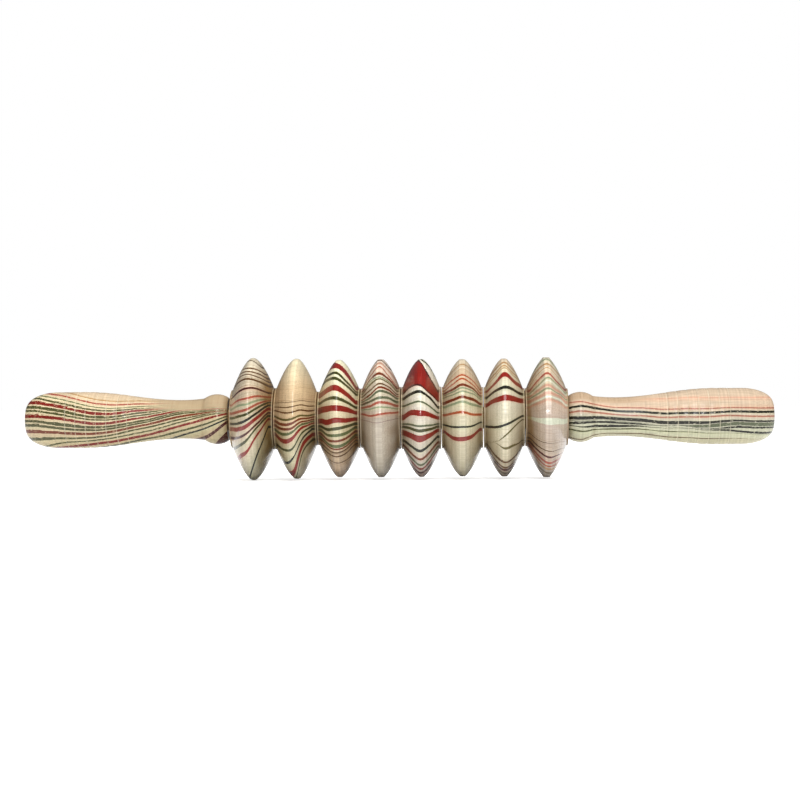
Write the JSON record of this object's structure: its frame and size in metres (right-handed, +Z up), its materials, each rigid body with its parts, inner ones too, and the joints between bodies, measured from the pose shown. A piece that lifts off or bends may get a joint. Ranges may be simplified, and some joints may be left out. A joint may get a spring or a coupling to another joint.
{
  "type": "massage roller stick",
  "caption": "Hand-held wooden massage roller: a row of double-cone wheels spinning freely on a dowel between two turned handles.",
  "frame": {"origin": "on the axle's axis, midway between the outer ends of the two handles", "axes": "+X runs along the axle towards the right handle, +Z is up, and +Y points away from the viewer"},
  "size_m": [0.41, 0.0674, 0.0674],
  "materials": {
    "wheel_wood": "lacquered striped laminate",
    "handle_wood": "lacquered striped laminate",
    "axle_wood": "bare, sanded",
    "nail_steel": "bright wire nail"
  },
  "bodies": {
    "stick": {"axle_dowel": "axle_wood", "left_handle": "handle_wood", "right_handle": "handle_wood", "left_handle_nail": "nail_steel", "right_handle_nail": "nail_steel"},
    "wheel_1_body": {"wheel_1": "wheel_wood"},
    "wheel_2_body": {"wheel_2": "wheel_wood"},
    "wheel_3_body": {"wheel_3": "wheel_wood"},
    "wheel_4_body": {"wheel_4": "wheel_wood"},
    "wheel_5_body": {"wheel_5": "wheel_wood"},
    "wheel_6_body": {"wheel_6": "wheel_wood"},
    "wheel_7_body": {"wheel_7": "wheel_wood"},
    "wheel_8_body": {"wheel_8": "wheel_wood"}
  },
  "joints": [
    {"name": "wheel_1_spin", "type": "hinge", "parent": "stick", "child": "wheel_1_body", "pos_m": [-0.07975, 0, 0], "axis": [1, 0, 0], "continuous": true},
    {"name": "wheel_2_spin", "type": "hinge", "parent": "stick", "child": "wheel_2_body", "pos_m": [-0.05585, 0, 0], "axis": [1, 0, 0], "continuous": true},
    {"name": "wheel_3_spin", "type": "hinge", "parent": "stick", "child": "wheel_3_body", "pos_m": [-0.0323, 0, 0], "axis": [1, 0, 0], "continuous": true},
    {"name": "wheel_4_spin", "type": "hinge", "parent": "stick", "child": "wheel_4_body", "pos_m": [-0.00945, 0, 0], "axis": [1, 0, 0], "continuous": true},
    {"name": "wheel_5_spin", "type": "hinge", "parent": "stick", "child": "wheel_5_body", "pos_m": [0.0127, 0, 0], "axis": [1, 0, 0], "continuous": true},
    {"name": "wheel_6_spin", "type": "hinge", "parent": "stick", "child": "wheel_6_body", "pos_m": [0.03525, 0, 0], "axis": [1, 0, 0], "continuous": true},
    {"name": "wheel_7_spin", "type": "hinge", "parent": "stick", "child": "wheel_7_body", "pos_m": [0.0581, 0, 0], "axis": [1, 0, 0], "continuous": true},
    {"name": "wheel_8_spin", "type": "hinge", "parent": "stick", "child": "wheel_8_body", "pos_m": [0.08125, 0, 0], "axis": [1, 0, 0], "continuous": true}
  ]
}
